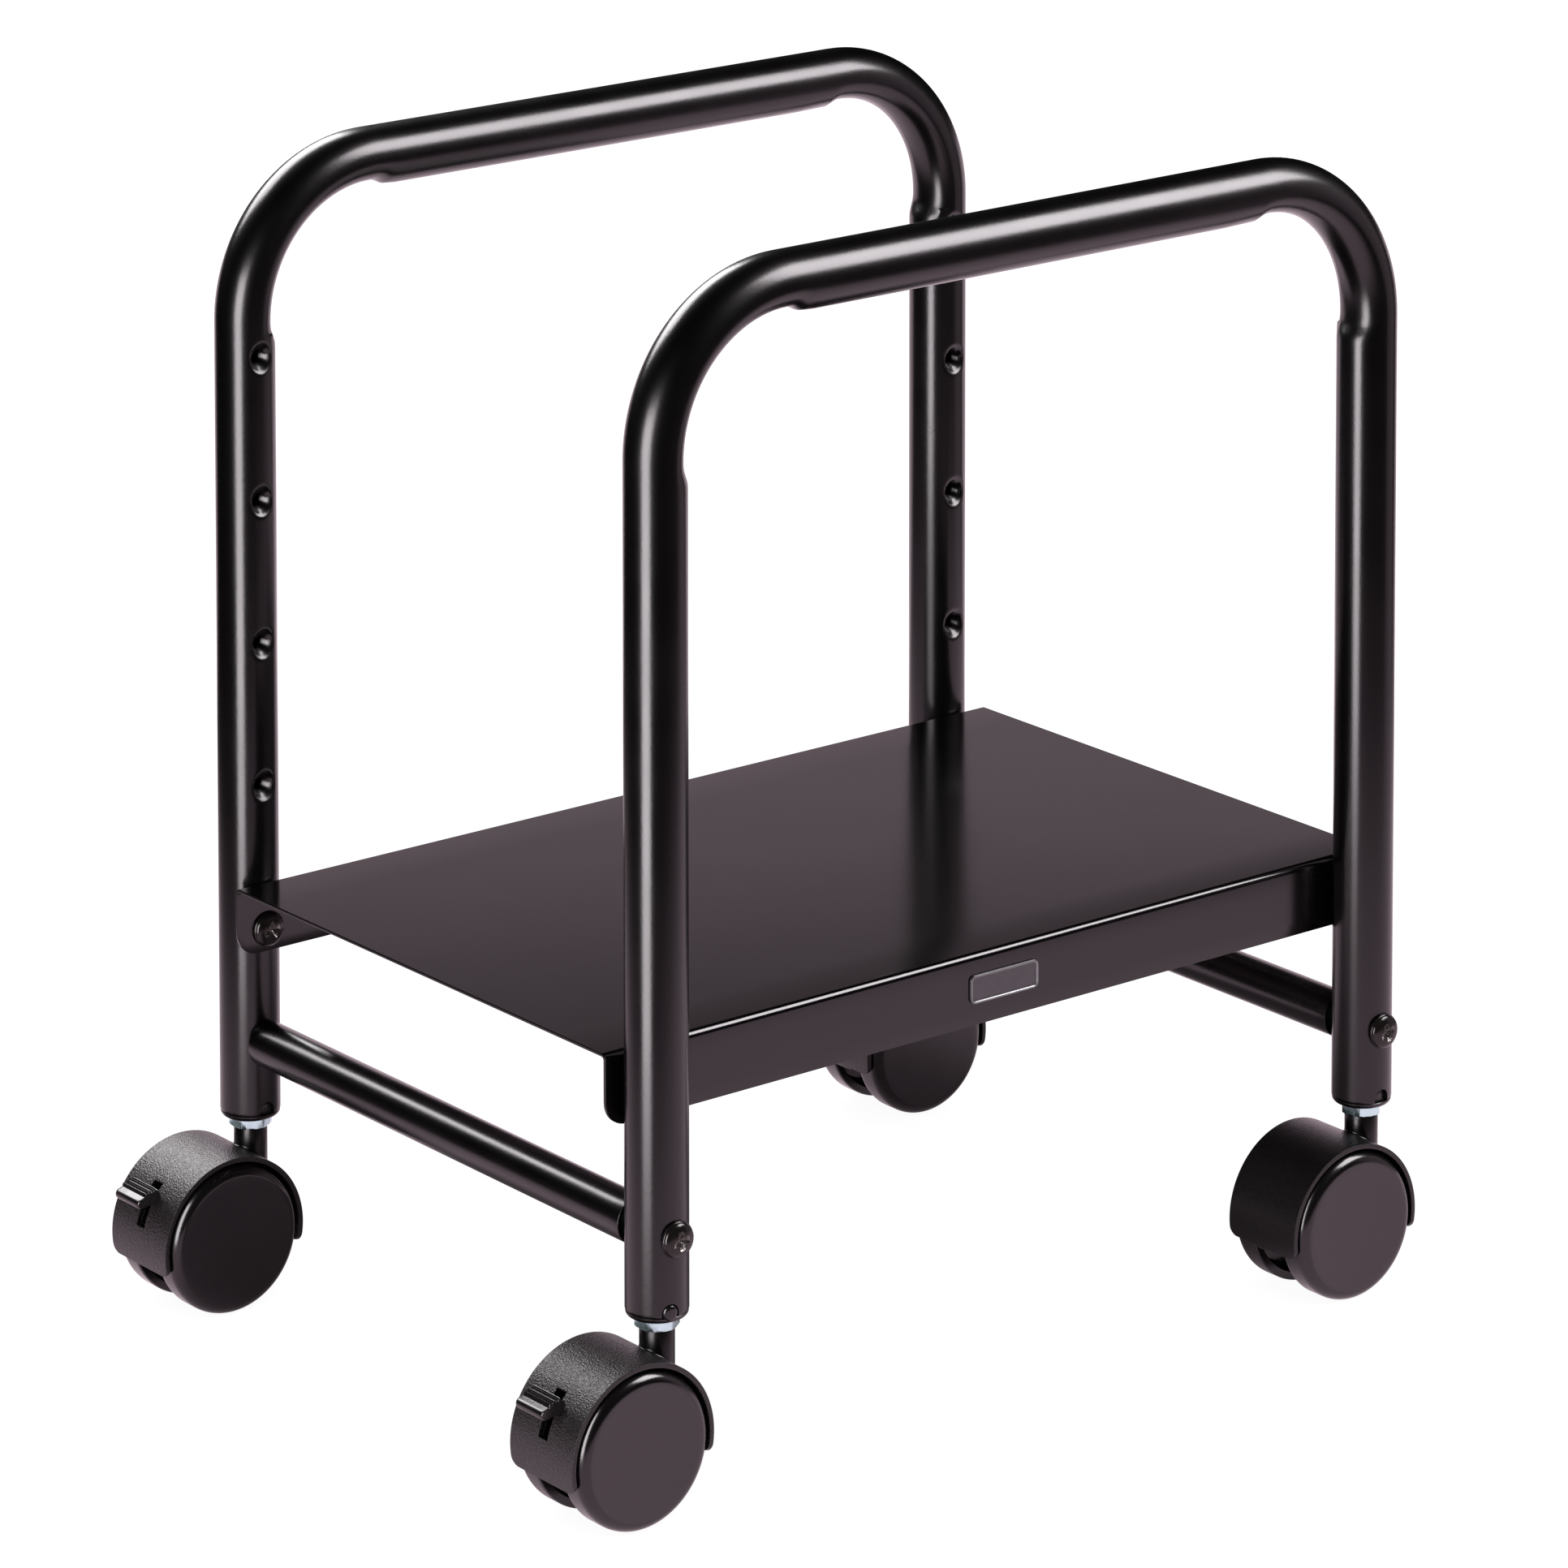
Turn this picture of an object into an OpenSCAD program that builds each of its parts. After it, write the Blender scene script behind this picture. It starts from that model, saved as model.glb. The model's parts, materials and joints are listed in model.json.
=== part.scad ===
// Rolling computer stand: two tubular hoops joined by crossbars, a folded
// sheet shelf screwed into the lowest of the shelf levels, four twin-wheel casters.
// Frame: millimetres, origin at the centre of the shelf's top face,
// +X along the hoops away from the braked casters, +Y front hoop to rear hoop,
// +Z up. Left is -X and front is -Y.

/* [Hoops] */
// Outside diameter of the hoop tube
tube_d = 22.5; // [19:0.5:28]
// Wall of the hoop tube
tube_wall = 1.5; // [1:0.1:3]
// Distance between the two leg axes of one hoop
hoop_span = 333; // [250:1:450]
// Distance between the mid planes of the two hoops
hoop_gap = 249; // [200:1:300]
// Height of the top bar axis above the plug rims
hoop_height = 355; // [250:1:450]
// Height of the plug rim under each leg
rim_h = 2.3; // [1.5:0.1:4]
// Centreline radius of the two hoop bends
bend_r = 54; // [35:1:80]

/* [Shelf levels] */
// Height of the lowest tapped hole above the plug rims
hole_first = 73.9; // [60:0.1:90]
// Step between shelf levels
hole_pitch = 53.8; // [30:0.1:60]
// Number of tapped holes in each leg
hole_count = 5; // [1:1:6]
// Mouth diameter of the pressed dimple around each tapped hole
dimple_d = 11.4; // [8:0.1:14]

/* [Shelf] */
// Length of the shelf along the hoops
shelf_len = 360; // [300:1:420]
// Sheet thickness
sheet_t = 1.2; // [0.8:0.1:2.5]
// Depth of the folded flanges including the sheet
flange_h = 26.2; // [20:0.1:40]
// Outside radius of the fold
fold_r = 2.4; // [1.5:0.1:5]
// Radius of the lower flange corners
flange_corner_r = 9; // [1:0.5:12]
// Distance of the shelf screws below the shelf top
shelf_screw_drop = 17.8; // [12:0.1:22]
// Air between flange and leg
flange_air = 0.05; // [0.02:0.01:0.3]

/* [Crossbars] */
// Outside diameter of the crossbars
bar_d = 17; // [12:0.5:20]
// Wall of the crossbars
bar_wall = 1.5; // [1:0.1:2.5]
// Height of the crossbar axis above the plug rims
bar_z = 29.8; // [26:0.1:50]

/* [Screws] */
// Thread diameter of all frame screws
screw_d = 6; // [5:0.5:8]
// Head diameter
head_d = 13.2; // [10:0.1:16]
// Head height
head_h = 3.4; // [2:0.1:5]

/* [Casters] */
// Wheel diameter
wheel_d = 55.8; // [45:0.1:60]
// Trail: distance of the axle behind the swivel axis
trail = 19.5; // [15:0.1:25]
// Depth of the axle below the plug rims
axle_drop = 38.8; // [35:0.1:45]
// Outside radius of the hood
hood_r = 30.7; // [28.5:0.1:34]
// Wall of the hood
hood_wall = 1.8; // [1.2:0.1:3]
// Level lower edge of the hood below the axle
hood_low = 8; // [2:0.1:12]
// Half width of the hood
hood_half = 17.8; // [15:0.1:20]
// Half width over both wheels
wheel_half = 19.6; // [16:0.1:22]

/* [Hidden] */
$fn = 96;
air = 0.05; // fit between mating parts

foot = -(hole_first + shelf_screw_drop); // height of the plug rims' underside
top_z = foot + hoop_height;
bar_axis = foot + bar_z;
tube_r = tube_d/2;
bore_r = tube_r - tube_wall;
leg_x = hoop_span/2;
hoop_y = hoop_gap/2;
flange_y = hoop_y - tube_r - flange_air; // outer face of the shelf flange
bar_half = hoop_y - tube_r - air;
insert_r = bar_d/2 - bar_wall;

thread_r = screw_d/2;
tap_r = thread_r + air;
clear_r = thread_r + 0.3;

coat_color = [0.13, 0.12, 0.13];
black_color = [0.09, 0.09, 0.10];
zinc_color = [0.78, 0.79, 0.80];
plate_color = [0.30, 0.30, 0.31];

// ---------- helpers ----------
// Cylinder along Y, centred.
module rod_y(radius, length) rotate([90, 0, 0])
  cylinder(r = radius, h = length, center = true);

// Slab centred on y = 0 whose outline is drawn in (x, z).
module slab_y(width) rotate([90, 0, 0]) linear_extrude(width, center = true) children();

// At the left and the right leg axis, at height z.
module both_legs(z) for (side = [-1, 1]) translate([side*leg_x, 0, z]) children();

// At y and at -y, with local +Z pointing to the mid plane.
module facing_in(y) for (side = [-1, 1])
  translate([0, side*y, 0]) rotate([side*90, 0, 0]) children();

// ---------- hoops ----------
collar_r = 4.6;
collar_h = 3.2;
collar_depth = 4.4; // collar's inner end below the tube surface
tap_start = 4; // thread bore's inner end from the leg axis
dimple_floor_r = 3.4;
dimple_depth = 2.2;
key_r = 2.9;
key_low = 0.3;
key_top = 4; // centre of the key's round top

module hoop_run(radius) {
  both_legs(foot + rim_h) cylinder(r = radius, h = hoop_height - rim_h - bend_r);
  for (side = [-1, 1])
    translate([side*(leg_x - bend_r), 0, top_z - bend_r])
      rotate([90, 0, side < 0 ? 180 : 0])
        rotate_extrude(angle = 90) translate([bend_r, 0]) circle(r = radius);
  translate([-leg_x + bend_r, 0, top_z]) rotate([0, 90, 0])
    cylinder(r = radius, h = hoop_span - 2*bend_r);
}

// At every tapped hole, on the leg axis with local +Z along +Y.
module at_holes() for (i = [0:hole_count - 1])
  both_legs(foot + hole_first + i*hole_pitch) rotate([-90, 0, 0]) children();

// Round-topped key outline, grown by gap.
module key_2d(gap) {
  translate([0, key_top]) circle(r = key_r + gap);
  translate([-key_r - gap, key_low - gap])
    square([2*(key_r + gap), key_top - key_low + gap]);
}

// One hoop in its own mid plane, tapped dimples on the +Y side.
module hoop() difference() {
  union() {
    difference() {
      hoop_run(tube_r);
      hoop_run(bore_r);
      both_legs(foot + rim_h - 1) cylinder(r = bore_r, h = 2);
    }
    // pressed-in collars that carry the threads
    at_holes() translate([0, 0, tube_r - collar_depth])
      cylinder(r = collar_r, h = collar_h);
  }
  at_holes() {
    translate([0, 0, tap_start]) cylinder(r = tap_r, h = tube_r);
    translate([0, 0, tube_r - dimple_depth])
      cylinder(r1 = dimple_floor_r, r2 = dimple_d/2 + 0.5, h = dimple_depth + 0.4);
  }
  // keyways for the plugs, cut from both sides of the tube end
  both_legs(foot) slab_y(tube_d + 4) key_2d(0.06);
  // clearance holes of the crossbar screws
  both_legs(bar_axis) rod_y(clear_r, tube_d + 4);
}

module front_hoop() color(coat_color) translate([0, -hoop_y, 0]) hoop();
module rear_hoop() color(coat_color) translate([0, hoop_y, 0]) rotate([0, 0, 180]) hoop();

// ---------- crossbars ----------
insert_len = 16;
insert_inset = 1; // from the end of the crossbar

module crossbar() difference() {
  rod_y(bar_d/2, 2*bar_half);
  rod_y(insert_r, 2*bar_half + 2);
}
module left_crossbar() color(coat_color) translate([-leg_x, 0, bar_axis]) crossbar();
module right_crossbar() color(coat_color) translate([leg_x, 0, bar_axis]) crossbar();

module crossbar_inserts() color(zinc_color)
  both_legs(bar_axis) facing_in(bar_half - insert_inset) difference() {
    cylinder(r = insert_r, h = insert_len);
    translate([0, 0, -1]) cylinder(r = tap_r, h = insert_len + 2);
  }

// ---------- screws ----------
// Seat face at z = 0, head above it, shank below.
bar_screw_len = 36;
shelf_screw_len = 10;
head_edge = 0.7; // straight edge under the domed head
slot_len = 6;
slot_w = 1.2;
slot_depth = 2.1;
low_head_r = 5;
low_head_h = 0.5;
socket_r = 2;
socket_depth = 2;

module shank(length) translate([0, 0, -length]) cylinder(r = thread_r, h = length + 0.1);

// Pan-head screw with a cross recess.
module pan_screw(length) {
  head_r = head_d/2;
  dome_h = head_h - head_edge;
  dome_r = (pow(head_r, 2) + pow(dome_h, 2))/(2*dome_h);
  difference() {
    union() {
      cylinder(r = head_r, h = head_edge);
      intersection() {
        translate([0, 0, head_h - dome_r]) sphere(r = dome_r);
        translate([0, 0, head_edge]) cylinder(r = head_r, h = head_h);
      }
      shank(length);
    }
    for (turn = [0, 90]) rotate([0, 0, turn])
      translate([-slot_len/2, -slot_w/2, head_h - slot_depth]) cube([slot_len, slot_w, 3]);
  }
}

// Low-head screw of the rear hoop, with a hex socket.
module low_screw(length) difference() {
  union() {
    cylinder(r = low_head_r, h = low_head_h);
    shank(length);
  }
  translate([0, 0, -socket_depth]) cylinder(r = socket_r, h = socket_depth + 1, $fn = 6);
}

module crossbar_screws() color(black_color) both_legs(bar_axis) {
  translate([0, -hoop_y - tube_r, 0]) rotate([90, 0, 0]) pan_screw(bar_screw_len);
  translate([0, hoop_y + tube_r, 0]) rotate([-90, 0, 0]) low_screw(bar_screw_len);
}

// Heads against the inner faces of the flanges.
module shelf_screws() color(black_color)
  both_legs(-shelf_screw_drop) facing_in(flange_y - sheet_t) pan_screw(shelf_screw_len);

// ---------- shelf ----------
// Quarter ring of the fold, about the fold's centre.
module fold_2d() intersection() {
  difference() {
    circle(r = fold_r);
    circle(r = fold_r - sheet_t);
  }
  square([fold_r + 1, fold_r + 1]);
}

// Flange outline in (x, z), with rounded lower corners.
module flange_2d() {
  cut = flange_corner_r + 1;
  difference() {
    translate([-shelf_len/2, -flange_h]) square([shelf_len, flange_h - fold_r]);
    for (side = [-1, 1])
      translate([side*(shelf_len/2 - flange_corner_r), -flange_h + flange_corner_r])
        difference() {
          translate([side > 0 ? 0 : -cut, -cut]) square([cut, cut]);
          circle(r = flange_corner_r);
        }
  }
}

module shelf() color(coat_color) difference() {
  union() {
    translate([-shelf_len/2, -flange_y + fold_r, -sheet_t])
      cube([shelf_len, 2*(flange_y - fold_r), sheet_t]);
    for (flip = [0, 1]) mirror([0, flip, 0]) {
      translate([-shelf_len/2, flange_y - fold_r, -fold_r]) rotate([90, 0, 90])
        linear_extrude(shelf_len) fold_2d();
      translate([0, flange_y, 0]) rotate([90, 0, 0]) linear_extrude(sheet_t) flange_2d();
    }
  }
  both_legs(-shelf_screw_drop) rod_y(clear_r, 2*flange_y + 2);
}

// ---------- nameplate, on the front flange ----------
plate_w = 32;
plate_h = 10.6;
plate_t = 0.9;
plate_floor = 0.5; // thickness inside the raised border
plate_border = 0.9;
plate_z = -12.9;

module plate_2d(width, height, corner_r) {
  square([width - 2*corner_r, height], center = true);
  square([width, height - 2*corner_r], center = true);
  for (x_side = [-1, 1]) for (y_side = [-1, 1])
    translate([x_side*(width/2 - corner_r), y_side*(height/2 - corner_r)])
      circle(r = corner_r);
}

module nameplate() color(plate_color)
  translate([0, -flange_y - 0.02, plate_z]) rotate([90, 0, 0]) difference() {
    linear_extrude(plate_t) plate_2d(plate_w, plate_h, corner_r = 2.2);
    translate([0, 0, plate_floor]) linear_extrude(1)
      plate_2d(plate_w - 2*plate_border, plate_h - 2*plate_border, corner_r = 1.4);
  }

// ---------- leg plugs and stems ----------
// Swivel axis at the origin, underside of the plug rim at z = 0.
stem_r = 5;
pivot_r = 4; // stem's lower end, in the hood
spigot_len = 20.8;
hex_flats = 14;
hex_h = 4;

// Plug rim: radius, height
rim_profile = [
  [0, 0], [tube_r - 1.9, 0], [tube_r - 1, 0.5], [tube_r - 0.3, 1.3],
  [tube_r - air, rim_h - 0.1], [tube_r - air, rim_h], [0, rim_h]];

module at_leg(x_side, y_side) translate([x_side*leg_x, y_side*hoop_y, foot]) children();

module plug() color(black_color) difference() {
  union() {
    rotate_extrude() polygon(rim_profile);
    translate([0, 0, rim_h - 0.1]) cylinder(r = bore_r, h = spigot_len);
    // keys that fill the keyways of the tube
    intersection() {
      slab_y(tube_d + 2) key_2d(0);
      difference() {
        cylinder(r = tube_r + 0.1, h = 8);
        translate([0, 0, -1]) cylinder(r = 8, h = 10);
      }
    }
  }
  translate([0, 0, -2]) cylinder(r = stem_r, h = 30);
}

module stem() color(zinc_color) {
  translate([0, 0, -1]) cylinder(r = stem_r, h = 21);
  translate([0, 0, -hex_h - air]) rotate([0, 0, 30])
    cylinder(r = hex_flats/sqrt(3), h = hex_h, $fn = 6);
  translate([0, 0, -22]) cylinder(r = pivot_r, h = 18.5);
}

module front_left_plug() at_leg(-1, -1) plug();
module front_right_plug() at_leg(1, -1) plug();
module rear_left_plug() at_leg(-1, 1) plug();
module rear_right_plug() at_leg(1, 1) plug();
module front_left_stem() at_leg(-1, -1) stem();
module front_right_stem() at_leg(1, -1) stem();
module rear_left_stem() at_leg(-1, 1) stem();
module rear_right_stem() at_leg(1, 1) stem();

// ---------- casters ----------
// Axle centre at the origin, swivel axis at x = trail; outlines are in (x, z).
wheel_r = wheel_d/2;
axle_r = 3;
web_half = 4.9; // half width of the hood's centre web
room_r = 28; // limit of the brake's room in the web
neck_r = 6.3;
neck_low = 8;
lever_pivot = [-9, 6];
pin_r = 1.5;

module at_axle(x_side, y_side)
  at_leg(x_side, y_side) translate([-trail, 0, -axle_drop]) children();
module at_pivot() translate([lever_pivot[0], 0, lever_pivot[1]]) children();

// Round hood outline, cut off level a little below the axle.
module hood_2d(radius) intersection() {
  circle(r = radius);
  translate([-50, -hood_low]) square([100, 100]);
}

// Room for the brake's pad arm and pad, cut through the whole web.
module window_2d() intersection() {
  translate([-26, 8]) square([15.4, 16]);
  circle(r = room_r);
}

// Room for the lever itself, cut through the middle of the web.
module pocket_2d() intersection() {
  union() {
    translate([-29, -1]) square([22, 23.5]);
    translate(lever_pivot) circle(r = 4.6);
  }
  circle(r = room_r);
}

module hood(braked) color(black_color) difference() {
  union() {
    // wrap-around shell with the neck around the stem
    difference() {
      union() {
        slab_y(2*hood_half) hood_2d(hood_r);
        translate([trail, 0, neck_low])
          cylinder(r = neck_r, h = axle_drop - hex_h - 0.1 - neck_low);
      }
      rod_y(hood_r - hood_wall, 60);
    }
    // centre web that carries the axle
    slab_y(2*web_half) difference() {
      union() {
        hood_2d(hood_r - 0.7);
        circle(r = 9);
      }
      if (braked) window_2d();
    }
  }
  translate([trail, 0, axle_drop - 22.3]) cylinder(r = pivot_r + air, h = 20);
  rod_y(axle_r, 30);
  if (braked) {
    slab_y(5.4) pocket_2d();
    // slot through the shell for the lever
    translate([-33, -2.65, 6.4]) cube([15, 5.3, 15.1]);
    at_pivot() rod_y(pin_r, 30);
  }
}

hub_in = 5.2; // hub's inner face from the caster's mid plane
hub_r = 6.5;
tread_in = 8; // tread's inner edge from the caster's mid plane
tread_t = 3;
disc_t = 3.5;
shoulder_r = 4;
face_rise = 0.3; // wheel face beyond the end of the shoulder

// Wheel section: radius, distance from the caster's mid plane
wheel_profile = concat(
  [[0, wheel_half - disc_t],
   [wheel_r - tread_t - 2, wheel_half - disc_t],
   [wheel_r - tread_t, wheel_half - disc_t - 2],
   [wheel_r - tread_t, tread_in],
   [wheel_r - 0.6, tread_in],
   [wheel_r, tread_in + 0.6]],
  [for (angle = [0:10:90])
    [wheel_r - shoulder_r + shoulder_r*cos(angle),
     wheel_half - face_rise - shoulder_r + shoulder_r*sin(angle)]],
  [[wheel_r*0.45, wheel_half], [0, wheel_half]]);

// side: -1 for the wheel toward -Y, 1 for the one toward +Y
module wheel(side) color(black_color)
  rotate([90, 0, 0]) mirror([0, 0, side > 0 ? 1 : 0]) difference() {
    union() {
      rotate_extrude() polygon(wheel_profile);
      translate([0, 0, hub_in]) cylinder(r = hub_r, h = wheel_half - hub_in - 3);
    }
    cylinder(r = axle_r + air, h = wheel_half - 3.6);
  }

module axle() color(zinc_color) rod_y(axle_r, 2*(wheel_half - 3.8));

// Brake lever in the raised position.
pad_angle = 118;
pad_reach = 11.4; // from the lever pivot to the pad's centre
pad_r = 2;
pad_at = lever_pivot + pad_reach*[cos(pad_angle), sin(pad_angle)];

// Outlines: x, z
lever_outline = [
  lever_pivot + [-3.2, -2.4], [-24.5, 14.6], [-31, 17.4], [-31, 21.4],
  [-24.4, 19.6], lever_pivot + [-1, 4]];
pad_arm_outline = [
  lever_pivot + [-4, 0], pad_at - [pad_r, 0], pad_at + [pad_r, 0],
  lever_pivot + [3.5, 1.5]];
paddle_outline = [[-28, 17.2], [-34.6, 16.5], [-34, 20.4], [-32.6, 21.6], [-28, 22.4]];

module brake() color(black_color) difference() {
  union() {
    slab_y(4.8) {
      translate(lever_pivot) circle(r = 4);
      polygon(lever_outline);
      polygon(pad_arm_outline);
    }
    translate([pad_at[0], 0, pad_at[1]]) rod_y(pad_r, 18);
    // paddle with a rounded lip and ribs
    slab_y(15.3) {
      polygon(paddle_outline);
      translate([-34.1, 18.4]) circle(r = 1.9);
      translate([-28, 19.8]) circle(r = 2.6);
      for (i = [0:4]) translate([-32.4 + i*1.15, 21.65 + i*0.2]) circle(r = 0.5);
    }
  }
  at_pivot() rod_y(pin_r + air, 30);
}

module lever_pin() color(zinc_color) at_pivot() rod_y(pin_r, 2*web_half - 0.1);

module front_left_hood() at_axle(-1, -1) hood(true);
module front_right_hood() at_axle(1, -1) hood(false);
module rear_left_hood() at_axle(-1, 1) hood(true);
module rear_right_hood() at_axle(1, 1) hood(false);
module front_left_axle() at_axle(-1, -1) axle();
module front_right_axle() at_axle(1, -1) axle();
module rear_left_axle() at_axle(-1, 1) axle();
module rear_right_axle() at_axle(1, 1) axle();
module front_left_wheel_a() at_axle(-1, -1) wheel(-1);
module front_left_wheel_b() at_axle(-1, -1) wheel(1);
module front_right_wheel_a() at_axle(1, -1) wheel(-1);
module front_right_wheel_b() at_axle(1, -1) wheel(1);
module rear_left_wheel_a() at_axle(-1, 1) wheel(-1);
module rear_left_wheel_b() at_axle(-1, 1) wheel(1);
module rear_right_wheel_a() at_axle(1, 1) wheel(-1);
module rear_right_wheel_b() at_axle(1, 1) wheel(1);
module front_left_brake() at_axle(-1, -1) brake();
module rear_left_brake() at_axle(-1, 1) brake();
module front_left_pin() at_axle(-1, -1) lever_pin();
module rear_left_pin() at_axle(-1, 1) lever_pin();

front_hoop();
rear_hoop();
left_crossbar();
right_crossbar();
crossbar_inserts();
crossbar_screws();
shelf();
shelf_screws();
nameplate();
front_left_plug();
front_right_plug();
rear_left_plug();
rear_right_plug();
front_left_stem();
front_right_stem();
rear_left_stem();
rear_right_stem();
front_left_hood();
front_right_hood();
rear_left_hood();
rear_right_hood();
front_left_axle();
front_right_axle();
rear_left_axle();
rear_right_axle();
front_left_wheel_a();
front_left_wheel_b();
front_right_wheel_a();
front_right_wheel_b();
rear_left_wheel_a();
rear_left_wheel_b();
rear_right_wheel_a();
rear_right_wheel_b();
front_left_brake();
rear_left_brake();
front_left_pin();
rear_left_pin();
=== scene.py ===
import bpy, bmesh, json, math
from mathutils import Vector, Matrix

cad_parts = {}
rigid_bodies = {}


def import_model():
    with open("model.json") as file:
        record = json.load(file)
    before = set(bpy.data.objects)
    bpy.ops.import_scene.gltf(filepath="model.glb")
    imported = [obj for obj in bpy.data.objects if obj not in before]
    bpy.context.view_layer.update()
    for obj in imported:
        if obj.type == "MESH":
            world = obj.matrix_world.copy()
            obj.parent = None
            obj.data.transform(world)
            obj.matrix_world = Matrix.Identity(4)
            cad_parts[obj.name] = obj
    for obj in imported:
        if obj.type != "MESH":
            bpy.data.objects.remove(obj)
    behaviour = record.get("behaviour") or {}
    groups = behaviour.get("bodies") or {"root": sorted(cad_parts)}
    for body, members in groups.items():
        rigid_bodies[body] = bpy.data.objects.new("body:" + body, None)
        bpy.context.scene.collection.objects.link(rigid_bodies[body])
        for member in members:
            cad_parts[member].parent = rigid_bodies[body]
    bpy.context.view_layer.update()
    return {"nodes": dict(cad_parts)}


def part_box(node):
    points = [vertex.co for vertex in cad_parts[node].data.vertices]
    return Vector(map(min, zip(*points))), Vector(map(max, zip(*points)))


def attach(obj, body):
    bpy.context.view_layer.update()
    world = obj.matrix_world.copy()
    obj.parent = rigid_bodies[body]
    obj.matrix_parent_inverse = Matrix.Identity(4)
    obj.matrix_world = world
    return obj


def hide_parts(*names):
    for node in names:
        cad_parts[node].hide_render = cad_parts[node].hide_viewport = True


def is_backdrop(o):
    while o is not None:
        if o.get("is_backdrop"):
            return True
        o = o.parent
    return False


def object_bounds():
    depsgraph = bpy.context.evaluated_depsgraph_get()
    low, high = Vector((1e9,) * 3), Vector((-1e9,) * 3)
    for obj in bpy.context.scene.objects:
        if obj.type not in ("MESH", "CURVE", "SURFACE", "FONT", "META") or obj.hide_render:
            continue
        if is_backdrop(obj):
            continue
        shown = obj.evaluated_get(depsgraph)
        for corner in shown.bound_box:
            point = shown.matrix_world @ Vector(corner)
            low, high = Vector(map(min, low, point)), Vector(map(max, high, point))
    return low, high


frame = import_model()
MM = 0.001
NODES = frame["nodes"]


def mm(node):
    lo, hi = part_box(node)
    return [c * 1000 for c in lo], [c * 1000 for c in hi]


# ------------------------------------------------------------------ frame sizes
hl, hh = mm("front_hoop")
rl, rh = mm("rear_hoop")
TR = (hh[1] - hl[1]) / 2
GX = (hh[0] - hl[0]) / 2 - TR
GY = (rl[1] + rh[1]) / 2
TUBE_END = hl[2]
TOP_Z = hh[2] - TR
RIM = 2.3
FOOT = TUBE_END - RIM
BEND = 54.0
HOLES = [FOOT + 73.9 + 53.8 * i for i in range(5)]
LEGS = {"front_left": (-1, -1), "front_right": (1, -1), "rear_left": (-1, 1), "rear_right": (1, 1)}
wl, wh = mm("front_left_wheel_a")
WR = (wh[2] - wl[2]) / 2
AX_Z = (wh[2] + wl[2]) / 2
TRAIL = -GX - (wh[0] + wl[0]) / 2
WHEEL_OUT = -GY - wl[1]
FLOOR_Z = wl[2]


# ------------------------------------------------------------------ materials
def nodes_of(mat):
    mat.use_nodes = True
    nt = mat.node_tree
    return nt, nt.nodes, nt.links, nt.nodes["Principled BSDF"]


def noise(nt, coord, scale, detail=2.0, rough=0.5):
    n = nt.nodes.new("ShaderNodeTexNoise")
    n.inputs["Scale"].default_value = scale
    n.inputs["Detail"].default_value = detail
    n.inputs["Roughness"].default_value = rough
    nt.links.new(coord, n.inputs["Vector"])
    return n.outputs["Fac"]


def ramp(nt, fac, lo, hi, a=0.3, b=0.7):
    r = nt.nodes.new("ShaderNodeMapRange")
    r.inputs["From Min"].default_value = a
    r.inputs["From Max"].default_value = b
    r.inputs["To Min"].default_value = lo
    r.inputs["To Max"].default_value = hi
    nt.links.new(fac, r.inputs["Value"])
    return r.outputs["Result"]


def bump(nt, height, strength, distance, normal=None):
    b = nt.nodes.new("ShaderNodeBump")
    b.inputs["Strength"].default_value = strength
    b.inputs["Distance"].default_value = distance
    nt.links.new(height, b.inputs["Height"])
    if normal is not None:
        nt.links.new(normal, b.inputs["Normal"])
    return b.outputs["Normal"]


def mix_colour(nt, fac, a, b):
    m = nt.nodes.new("ShaderNodeMix")
    m.data_type = "RGBA"
    m.inputs["A"].default_value = (*a, 1)
    m.inputs["B"].default_value = (*b, 1)
    nt.links.new(fac, m.inputs["Factor"])
    return m.outputs["Result"]


def coords(nt):
    return nt.nodes.new("ShaderNodeTexCoord").outputs["Object"]


def surface(name, col_a, col_b, col_scale, r_lo, r_hi, r_scale, bumps, metallic=0.0, ior=1.5, spec=0.5, tint=(1.0, 0.94, 0.975), grain=None):
    mat = bpy.data.materials.new(name)
    nt, ns, ln, bsdf = nodes_of(mat)
    co = coords(nt)
    ln.new(mix_colour(nt, noise(nt, co, col_scale, 3), col_a, col_b), bsdf.inputs["Base Color"])
    ln.new(ramp(nt, noise(nt, co, r_scale, 3), r_lo, r_hi), bsdf.inputs["Roughness"])
    bsdf.inputs["Metallic"].default_value = metallic
    bsdf.inputs["IOR"].default_value = ior
    bsdf.inputs["Specular IOR Level"].default_value = spec
    bsdf.inputs["Specular Tint"].default_value = (*tint, 1) if metallic < 0.5 else (1, 1, 1, 1)
    normal = None
    if grain:
        # moulded leather grain: rounded cells with flat tops
        v = nt.nodes.new("ShaderNodeTexVoronoi")
        v.feature = "SMOOTH_F1"
        v.inputs["Scale"].default_value = grain[0]
        v.inputs["Smoothness"].default_value = 0.4
        warp = nt.nodes.new("ShaderNodeVectorMath")
        warp.operation = "MULTIPLY_ADD"
        nz = nt.nodes.new("ShaderNodeTexNoise")
        nz.inputs["Scale"].default_value = grain[0] * 0.7
        ln.new(co, nz.inputs["Vector"])
        ln.new(nz.outputs["Color"], warp.inputs[0])
        warp.inputs[1].default_value = (0.15 / grain[0],) * 3
        ln.new(co, warp.inputs[2])
        ln.new(warp.outputs[0], v.inputs["Vector"])
        normal = bump(nt, v.outputs["Distance"], grain[1], grain[2], normal)
    for scale, strength, distance in bumps:
        normal = bump(nt, noise(nt, co, scale, 2), strength, distance, normal)
    if normal is not None:
        ln.new(normal, bsdf.inputs["Normal"])
    return mat


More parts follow.
